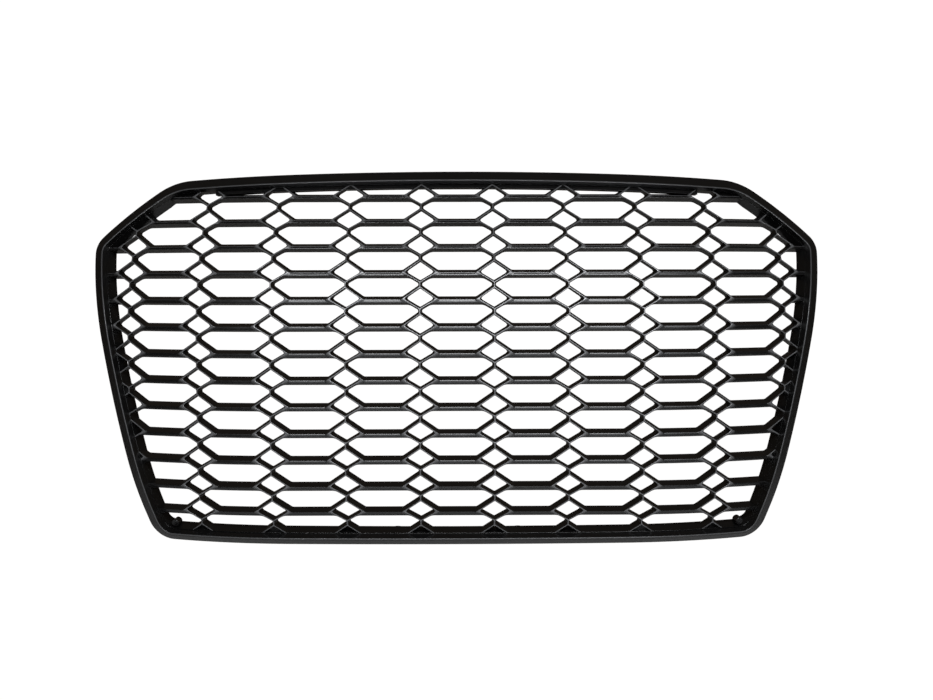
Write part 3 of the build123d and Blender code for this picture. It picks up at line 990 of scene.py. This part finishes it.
@dataclass
class HoneycombInsert:
    """Deep ribbed moulding with its perimeter wall, rear flange, top pads and corner bosses."""

    place: Placement
    pattern: RibPattern = field(default_factory=RibPattern)
    ridge_crown: float = -12.45
    ridge_edge: float = -11.75
    bar_recess: float = 0.85
    bar_convexity: float = 0.5
    lip_start: float = 0.6
    lip_width: float = 1.2
    back: float = 12.5
    blind_depth: float = -6.0
    trim_inset: float = 15.8
    wall_reach: float = 20.2
    chamfer_reach: float = 24.4
    chamfer_x: float = 355.0
    chamfer_z: float = 90.0
    smallest_opening: float = 40.0
    bottom_lean: float = 2.4
    lean_from: float = 205.0
    lean_over: float = 25.0
    growth: tuple[Point2, ...] = (
        (0.0, 0.0), (0.0, 5.5), (5.5, 5.5), (5.5, 4.5), (4.5, 2.8), (2.8, 4.0), (1.0, 0.0),
    )
    pad: Section = Section(((16.0, -10.8, 0.0), (23.0, -10.8, 0.8), (23.6, 10.0, 0.5), (16.0, 10.0, 0.0)))
    pad_end: float = 325.0
    boss: Point2 = (370.0, -226.5)
    boss_rings: tuple[Point2, ...] = ((-10.9, 4.4), (-10.5, 4.9), (11.7, 5.0))
    boss_steps: int = 32
    rows: int = 8
    columns: int = 6
    front_edges: tuple[float, ...] = (0.0, 0.6, 0.85, 1.0)
    wall_steps: tuple[float, ...] = (0.04, 0.35, 0.7, 0.985)
    edge_share: float = 0.985
    back_chamfer: float = 0.12
    # how far in from a rib's edge the painted highlight fades in, as a share of its half width
    painted_highlight_width: float = 0.35
    trim_margin: float = 1.0
    halvings: int = 24
    steps_per_mm: int = 200
    wall_edge: float = 17.3
    flange_edge: float = 13.9
    wall: Section = Section((
        (17.0, -12.5, 0.3), (19.4, 12.5, 0.7), (14.8, 12.5, 0.4), (14.4, 11.8, 0.2),
        (7.0, 11.8, 0.5), (7.0, 9.3, 0.5), (14.2, 9.3, 0.8), (14.2, -12.5, 0.4),
    ))

    def tiles(self) -> list[Tile]:
        """Every tile that reaches inside the perimeter wall."""
        p = self.pattern
        made: list[Tile] = []
        for row in range(-self.rows, self.rows):
            for column in range(-self.columns, self.columns + 1):
                made.append(Tile(Opening.CELL, column * p.column_pitch, (row + 0.5) * p.row_pitch, p))
        for row in range(-self.rows, self.rows + 1):
            for column in range(-self.columns, self.columns):
                made.append(Tile(Opening.DIAMOND, (column + 0.5) * p.column_pitch, row * p.row_pitch, p))
        return [t for t in made if any(self._reach(s.x, s.z, self.trim_inset) > 0 for s in t.border)]

    def _front(self, spot: Spot, edge: float) -> float:
        """Depth of a rib's front.

        Args:
            spot: the border point beside it.
            edge: 0 on its middle line, 1 at its edge.

        Returns:
            The depth from the middle surface.
        """
        crown = self.ridge_crown + (self.ridge_edge - self.ridge_crown) * edge**3
        bar = self.ridge_crown + self.bar_recess + self.bar_convexity * edge**2
        lip = spot.lip * self.lip_width * max(0.0, (edge - self.lip_start) / (1 - self.lip_start))
        return bar + (crown - bar) * spot.ridge - lip

    def _painted_highlight_mask(self, spot: Spot, edge: float) -> float:
        """Painted highlight mask of a place on a rib's front, on ridge crowns and the lips of leaning bars.

        Args:
            spot: the border point beside it.
            edge: 0 on the rib's middle line, 1 at its edge.

        Returns:
            The painted highlight mask, from 0 to 1.
        """
        ridge = spot.ridge * max(0.0, min(1.0, (1.0 - edge) / self.painted_highlight_width))
        lip = min(1.0, spot.lip) * max(0.0, (edge - self.lip_start) / (1 - self.lip_start))
        return max(ridge**2, lip)

    def _rings(self, tile: Tile, blind: bool) -> list[list[Point4]]:
        """Loops of a tile from the front border over the rib to the back border.

        Args:
            tile: the tile.
            blind: whether its opening is closed by a floor.

        Returns:
            The loops, as (x, z, depth, painted highlight mask) points.
        """
        border, front, back = tile.border, tile.opening(0.0), tile.opening(1.0)
        rings: list[list[Point4]] = []
        for edge in self.front_edges:
            ring = []
            for spot, (x, z) in zip(border, front):
                share = min(edge, self.edge_share)
                ring.append((
                    spot.x + (x - spot.x) * share, spot.z + (z - spot.z) * share,
                    self._front(spot, edge), self._painted_highlight_mask(spot, edge),
                ))
            rings.append(ring)
        end = (self.blind_depth - self.ridge_edge) / (self.back - self.ridge_edge)
        for share in self.wall_steps:
            drop = share * (end if blind else 1.0)
            ring = []
            for (x, z), (u, v), spot in zip(front, back, border):
                top = self._front(spot, 1.0)
                ring.append((x + (u - x) * drop, z + (v - z) * drop, top + (self.back - top) * drop, 0.0))
            rings.append(ring)
        if not blind:
            rings.append([
                (*Tile.between((u, v), (spot.x, spot.z), self.back_chamfer), self.back, 0.0)
                for (u, v), spot in zip(back, border)
            ])
        return rings

    def _clipped(self, polygon: list[Point4], inset: float) -> list[Point4]:
        """Part of a polygon that lies further inside the outline than an inset.

        Args:
            polygon: (x, z, depth, painted highlight mask) points.
            inset: distance inside the outline's outer edge.

        Returns:
            The part, which may be empty.
        """
        reach = [self._reach(x, z, inset) for x, z, _, _ in polygon]
        kept: list[Point4] = []
        for i, point in enumerate(polygon):
            j = (i + 1) % len(polygon)
            if reach[i] >= 0:
                kept.append(point)
            if (reach[i] >= 0) != (reach[j] >= 0):
                kept.append(self._crossing(point, polygon[j], inset))
        return kept

    def _reach(self, x: float, z: float, inset: float) -> float:
        """How much further inside the outline a place lies than an inset, eased along the bottom."""
        share = min(1.0, max(0.0, (-z - self.lean_from) / self.lean_over))
        return OUTLINE.inset(x, z) - inset + self.bottom_lean * share

    def _crossing(self, first: Point4, second: Point4, inset: float) -> Point4:
        """Where a line between two points crosses an inset of the outline.

        Args:
            first: one end.
            second: the other end.
            inset: distance inside the outline's outer edge.

        Returns:
            The meeting point.
        """
        inner, outer = sorted((first, second), key=lambda p: -self._reach(p[0], p[1], inset))
        low, high = 0.0, 1.0
        for _ in range(self.halvings):
            middle = (low + high) / 2
            x = inner[0] + (outer[0] - inner[0]) * middle
            z = inner[1] + (outer[1] - inner[1]) * middle
            if self._reach(x, z, inset) >= 0:
                low = middle
            else:
                high = middle
        return tuple(a + (b - a) * low for a, b in zip(inner, outer))

    def _open_area(self, tile: Tile) -> float:
        """Area of a tile's opening inside the wall.

        Args:
            tile: the tile.

        Returns:
            The area in square millimetres.
        """
        near_chamfer = abs(tile.x) > self.chamfer_x and tile.z > self.chamfer_z
        inset = self.chamfer_reach if near_chamfer else self.wall_reach
        outline = self._clipped([(x, z, 0.0, 0.0) for x, z in tile.opening(1.0)], inset)
        twice = sum(
            a[0] * b[1] - b[0] * a[1] for a, b in zip(outline, [*outline[1:], *outline[:1]])
        )
        return abs(twice) / 2

    def _faces(self, tile: Tile) -> list[list[Point4]]:
        """Every face of a tile, before it is trimmed to the wall.

        Args:
            tile: the tile.

        Returns:
            The faces, as (x, z, depth, crest) points.
        """
        blind = self._open_area(tile) < self.smallest_opening
        rings = self._rings(tile, blind)
        border_back = [(s.x, s.z, self.back, 0.0) for s in tile.border]
        faces: list[list[Point4]] = []
        if blind:
            self._fan(faces, rings[-1], tile, rings[-1][0][2])
            self._fan(faces, list(reversed(border_back)), tile, self.back)
        else:
            rings.append(border_back)
        for first, second in zip(rings, rings[1:]):
            for i, point in enumerate(first):
                j = (i + 1) % len(first)
                faces.append([point, first[j], second[j], second[i]])
        return faces

    @staticmethod
    def _fan(faces: list[list[Point4]], loop: list[Point4], tile: Tile, depth: float) -> None:
        """Close a loop with triangles to the tile's centre.

        Args:
            faces: list that receives them.
            loop: the loop.
            tile: its tile.
            depth: depth of the centre.
        """
        centre = (tile.x, tile.z, depth, 0.0)
        for i, point in enumerate(loop):
            faces.append([point, loop[(i + 1) % len(loop)], centre])

    def build(self) -> bpy.types.Object:
        """Make the insert as one piece."""
        bm = bmesh.new()
        known: dict[tuple[int, int, int], bmesh.types.BMVert] = {}
        for tile in self.tiles():
            whole = all(self._reach(s.x, s.z, self.trim_inset) > self.trim_margin for s in tile.border)
            for face in self._faces(tile):
                polygon = face if whole else self._clipped(face, self.trim_inset)
                self._add_face(bm, known, polygon)
        rims = [edge for edge in bm.edges if edge.is_boundary]
        bmesh.ops.holes_fill(bm, edges=rims, sides=0)
        Ring(self.place, self.wall, lean=self._wall_lean).add_round(bm)
        self._add_pads(bm)
        self._add_bosses(bm)
        return finish_mesh("honeycomb_ribs", bm, 35.0)

    def _wall_lean(self, arc: Arc, fraction: float, inset: float, depth: float) -> float:
        """How far a corner of the wall's section moves in at one station.

        Args:
            arc: arc of the outline.
            fraction: place along the arc.
            inset: the corner's inset.
            depth: the corner's depth; not used.

        Returns:
            The move in millimetres.
        """
        start, end = self.growth[OUTLINE.arcs.index(arc)]
        if inset > self.wall_edge:
            return start + (end - start) * fraction
        in_front = inset > self.flange_edge
        return -self.bottom_lean * OUTLINE.bottom_share(arc, fraction) if in_front else 0.0

    def _add_pads(self, bm: bmesh.types.BMesh) -> None:
        """Add the blind pad on each half of the top edge, which closes the top row's upper part.

        Args:
            bm: mesh that receives it.
        """
        top = OUTLINE.arcs[0]
        end = math.asin(self.pad_end / top.radius) / top.turn
        for side in (1, -1):
            Ring(self.place, self.pad).add_stretch(bm, top, (0.0, end), side)

    def _add_bosses(self, bm: bmesh.types.BMesh) -> None:
        """Add the round boss in each lower corner.

        Args:
            bm: mesh that receives them.
        """
        for side in (1, -1):
            loops = []
            for depth, radius in self.boss_rings:
                loop = []
                for step in range(self.boss_steps):
                    angle = 2 * math.pi * step / self.boss_steps
                    x = self.boss[0] + radius * math.cos(angle)
                    z = self.boss[1] + radius * math.sin(angle)
                    loop.append(bm.verts.new(self.place.at(side * x, z, depth)))
                loops.append(loop)
            for first, second in zip(loops, loops[1:]):
                Ring.bridge(bm, first, second)
            bm.faces.new(loops[0])
            bm.faces.new(list(reversed(loops[-1])))

    def _add_face(
        self,
        bm: bmesh.types.BMesh,
        known: dict[tuple[int, int, int], bmesh.types.BMVert],
        polygon: list[Point4],
    ) -> None:
        """Add one face, sharing vertices that fall on the same place.

        Args:
            bm: mesh that receives it.
            known: vertices made so far, by rounded place.
            polygon: (x, z, depth, painted highlight mask) points.
        """
        vertices: list[bmesh.types.BMVert] = []
        marks = painted_highlight_layer(bm)
        for x, z, depth, crest in polygon:
            key = tuple(round(value * self.steps_per_mm) for value in (x, z, depth))
            if key not in known:
                known[key] = bm.verts.new(self.place.at(x, z, depth))
                # painted highlight mask stored on the vertex
                known[key][marks] = crest
            if known[key] not in vertices:
                vertices.append(known[key])
        if len(vertices) >= 3 and bm.faces.get(vertices) is None:
            bm.faces.new(vertices)


# ---- surround -------------------------------------------------------------------------
@dataclass
class SurroundTrim:
    """Visible rim: sloped inner wall, rounded crest, outer face, outer wall and snap hooks."""

    place: Placement
    bottom_lean: float = 3.4
    crest_depth: float = -12.5
    crest_inset: float = 9.4
    crest_line: float = 12.2
    wall_start: float = 13.4
    # strength of the painted highlight on the rim's crest line
    painted_highlight_share: float = 0.5
    rim: Section = Section((
        (13.2, -27.0, 1.9), (11.0, -27.0, 2.2), (0.9, -20.8, 2.0), (0.0, -18.6, 1.4), (0.0, 12.0, 0.6),
        (2.5, 12.0, 0.6), (2.5, -18.2, 1.2), (11.4, -23.6, 1.0), (14.2, -13.0, 0.3), (16.8, -13.0, 0.5),
    ))
    hook: Section = Section((
        (0.3, 10.0, 0.0), (0.3, 19.0, 0.5), (2.3, 19.0, 0.5), (4.3, 17.0, 0.4),
        (4.3, 15.8, 0.3), (2.3, 15.8, 0.3), (2.3, 10.0, 0.0),
    ))
    hooks: tuple[tuple[int, float, float], ...] = (
        (0, 0.08, 0.13), (0, 0.38, 0.43), (0, 0.86, 0.91), (2, 0.15, 0.32), (2, 0.68, 0.85),
        (4, 0.18, 0.23), (4, 0.43, 0.48), (4, 0.74, 0.79), (6, 0.22, 0.27), (6, 0.62, 0.67),
    )

    def build(self) -> bpy.types.Object:
        """Make the trim as one piece."""
        bm = bmesh.new()
        Ring(self.place, self.rim, 7.0, 2.5, self._lean, self._painted_highlight_mask).add_round(bm)
        for side in (1, -1):
            for number, start, end in self.hooks:
                Ring(self.place, self.hook).add_stretch(bm, OUTLINE.arcs[number], (start, end), side)
        return finish_mesh("surround_rim", bm, 40.0)

    def _lean(self, arc: Arc, fraction: float, inset: float, depth: float) -> float:
        """How far a corner of the rim's section moves in at one station.

        Args:
            arc: arc of the outline.
            fraction: place along the arc.
            inset: the corner's inset.
            depth: the corner's depth.

        Returns:
            The move in millimetres.
        """
        leans = depth < self.crest_depth and inset > self.crest_inset
        return -self.bottom_lean * OUTLINE.bottom_share(arc, fraction) if leans else 0.0

    def _painted_highlight_mask(self, inset: float, depth: float) -> float:
        """Painted highlight mask of a corner of the section: set on the crest line, from 0 to 1."""
        on_line = depth < self.crest_depth and self.crest_line < inset < self.wall_start
        return self.painted_highlight_share if on_line else 0.0


# ---- studio ---------------------------------------------------------------------------
@dataclass
class Studio:
    """Camera, soft lights, pale floor and white backdrop."""

    place: Placement
    distance: float = 1.6485
    eye_height: float = 0.0937
    pitch: float = 3.2
    yaw: float = 0.414
    roll: float = 0.136
    lens: float = 50.0
    sensor_width: float = 36.0
    sight: float = 50.0
    floor_drop: float = 0.9
    floor_reach: float = 14.0
    dome_radius: float = 16.0
    room: Point3 = (0.030, 0.024, 0.018)
    day: Point3 = (0.93, 0.96, 1.0)
    core: Point3 = (0.97, 0.98, 1.0)

    def camera(self) -> None:
        """Put the camera in front of the face, a little above its middle."""
        data = bpy.data.cameras.new("camera")
        data.lens = self.lens
        data.sensor_width = self.sensor_width
        data.clip_end = self.sight
        eye = bpy.data.objects.new("camera", data)
        eye.location = (0.0, self.place.y - self.distance, self.place.z + self.eye_height)
        eye.rotation_mode = "XYZ"
        eye.rotation_euler = (
            math.radians(90.0 - self.pitch), math.radians(self.roll), math.radians(-self.yaw)
        )
        bpy.context.scene.collection.objects.link(eye)
        bpy.context.scene.camera = eye

    def light(self, name: str, at: Point3, size: Point2, power: float, tint: Point3) -> None:
        """Add one soft rectangular light that points at the face's middle.

        Args:
            name: its name.
            at: where it stands, from the face's middle, in metres.
            size: its width and height in metres.
            power: its power in watts.
            tint: its colour.
        """
        data = bpy.data.lights.new(name, "AREA")
        data.shape = "RECTANGLE"
        data.size, data.size_y = size
        data.energy = power
        data.color = tint
        lamp = bpy.data.objects.new(name, data)
        middle = Vector((0.0, self.place.y, self.place.z))
        lamp.location = middle + Vector(at)
        lamp.rotation_euler = (-Vector(at)).to_track_quat("-Z", "Y").to_euler()
        lamp.visible_camera = False
        bpy.context.scene.collection.objects.link(lamp)

    def _surface(self, name: str, colour: Point3, glow: float) -> bpy.types.Material:
        """Plain pale material of a stage piece.

        Args:
            name: its name.
            colour: its colour.
            glow: light that it gives off.

        Returns:
            The material.
        """
        kit = ShaderKit(name)
        kit.set(base_color=(*colour, 1.0), roughness=0.9)
        kit.feed(kit.shader.inputs["Emission Color"], (*colour, 1.0))
        kit.feed(kit.shader.inputs["Emission Strength"], glow)
        return kit.material

    def floor(self) -> None:
        """Lay a wide pale floor well below the grille."""
        bm = bmesh.new()
        bmesh.ops.create_grid(bm, x_segments=8, y_segments=8, size=self.floor_reach)
        mesh = bpy.data.meshes.new("floor")
        bm.to_mesh(mesh)
        bm.free()
        slab = bpy.data.objects.new("floor", mesh)
        slab.location = (0.0, 0.0, CAD_BOX[0][2] - self.floor_drop)
        mesh.materials.append(self._surface("floor_paint", (0.93, 0.93, 0.93), 0.0))
        slab.visible_camera = False
        bpy.context.scene.collection.objects.link(slab)

    def backdrop(self) -> None:
        """Set a white backdrop all round that only the camera sees."""
        bm = bmesh.new()
        bmesh.ops.create_uvsphere(bm, u_segments=48, v_segments=24, radius=self.dome_radius)
        mesh = bpy.data.meshes.new("backdrop")
        bm.to_mesh(mesh)
        bm.free()
        dome = bpy.data.objects.new("backdrop", mesh)
        mesh.materials.append(self._surface("backdrop_white", (1.0, 1.0, 1.0), 1.0))
        dome.visible_diffuse = False
        dome.visible_glossy = False
        dome.visible_transmission = False
        dome.visible_shadow = False
        bpy.context.scene.collection.objects.link(dome)

    def surroundings(self) -> None:
        """Fill the room with dim warm light, as from dark walls."""
        world = bpy.data.worlds.new("room")
        world.use_nodes = True
        back = world.node_tree.nodes["Background"]
        back.inputs["Color"].default_value = (*self.room, 1.0)
        back.inputs["Strength"].default_value = 1.0
        bpy.context.scene.world = world
        bpy.context.scene.view_settings.view_transform = "Standard"

    def build(self) -> None:
        """Set the whole studio."""
        self.camera()
        self.floor()
        self.backdrop()
        self.surroundings()
        self.light("main_softbox", (0.35, -2.54, 1.18), (2.6, 1.3), 52.0, self.day)
        self.light("bright_core", (0.2, -2.1, 1.36), (1.5, 0.35), 34.0, self.core)
        self.light("low_fill", (0.3, -3.0, -0.3), (2.4, 0.8), 11.0, self.day)


# ---- whole object ---------------------------------------------------------------------
@dataclass
class Grille:
    """All pieces of the grille, each in its finish."""

    place: Placement
    materials: dict[Slot, bpy.types.Material] = field(default_factory=dict)

    def make_finishes(self) -> None:
        """Build the six finishes."""
        self.materials = {
            # both satin black finishes paint a highlight on the crests that their meshes mark
            Slot.SURROUND: MouldedPlastic(
                "satin_black_surround", (0.0035, 0.0035, 0.0037), (0.008, 0.0075, 0.007),
                0.3, 0.08, 2600.0, 0.000012,
            ).build(),
            Slot.HONEYCOMB: MouldedPlastic(
                "satin_black_honeycomb", (0.003, 0.003, 0.0032), (0.0075, 0.007, 0.0065),
                0.28, 0.08, 2600.0, 0.000012,
            ).build(),
            Slot.CARRIER: MouldedPlastic(
                "dull_black_carrier", (0.013, 0.013, 0.013), (0.028, 0.027, 0.026),
                0.52, 0.16, 1500.0, 0.00008,
            ).build(),
            Slot.SCREW: CoatedSteel(
                "black_coated_steel", (0.02, 0.02, 0.021), (0.10, 0.10, 0.10), 0.38, 0.7
            ).build(),
            Slot.SPRING: CoatedSteel(
                "grey_phosphated_steel", (0.16, 0.155, 0.145), (0.34, 0.33, 0.31), 0.42, 0.9
            ).build(),
            Slot.FOAM: CellFoam("closed_cell_foam", (0.012, 0.012, 0.013), (0.05, 0.05, 0.052)).build(),
        }

    def dress(self, piece: bpy.types.Object, slot: Slot) -> None:
        """Give a piece its finish.

        Args:
            piece: the piece.
            slot: the record's slot.
        """
        piece.data.materials.clear()
        piece.data.materials.append(self.materials[slot])

    def add(self, piece: bpy.types.Object, node: str, slot: Slot) -> None:
        """Put a new piece in the place of a CAD node.

        Args:
            piece: the piece.
            node: the node it stands for.
            slot: the record's slot.
        """
        self.dress(piece, slot)
        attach(piece, BODY)
        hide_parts(node)
        LOG.info("%s: %d faces", piece.name, len(piece.data.polygons))

    def dress_cad(self) -> None:
        """Give every CAD node that stays its finish."""
        slots = {entry["node"]: Slot(entry["material_slot"]) for entry in frame["record"]["subparts"]}
        for name, node in frame["nodes"].items():
            if node.hide_render or name in ("surround_trim", "honeycomb_insert"):
                continue
            for surface in node.material_slots:
                surface.material = self.materials[slots[name]]
            if not node.material_slots:
                node.data.materials.append(self.materials[slots[name]])
            LOG.info("%s: dressed in %s", name, slots[name].value)

    def build(self) -> None:
        """Make and dress every piece."""
        self.make_finishes()
        self.add(SurroundTrim(self.place).build(), "surround_trim", Slot.SURROUND)
        self.add(HoneycombInsert(self.place).build(), "honeycomb_insert", Slot.HONEYCOMB)
        self.dress_cad()


def main() -> None:
    """Build the studio and the grille."""
    logging.basicConfig(level=logging.INFO, format="%(name)s %(message)s")
    place = Placement.from_frame(RibPattern().rib_depth)
    Studio(place).build()
    Grille(place).build()


if __name__ == "__main__":
    main()
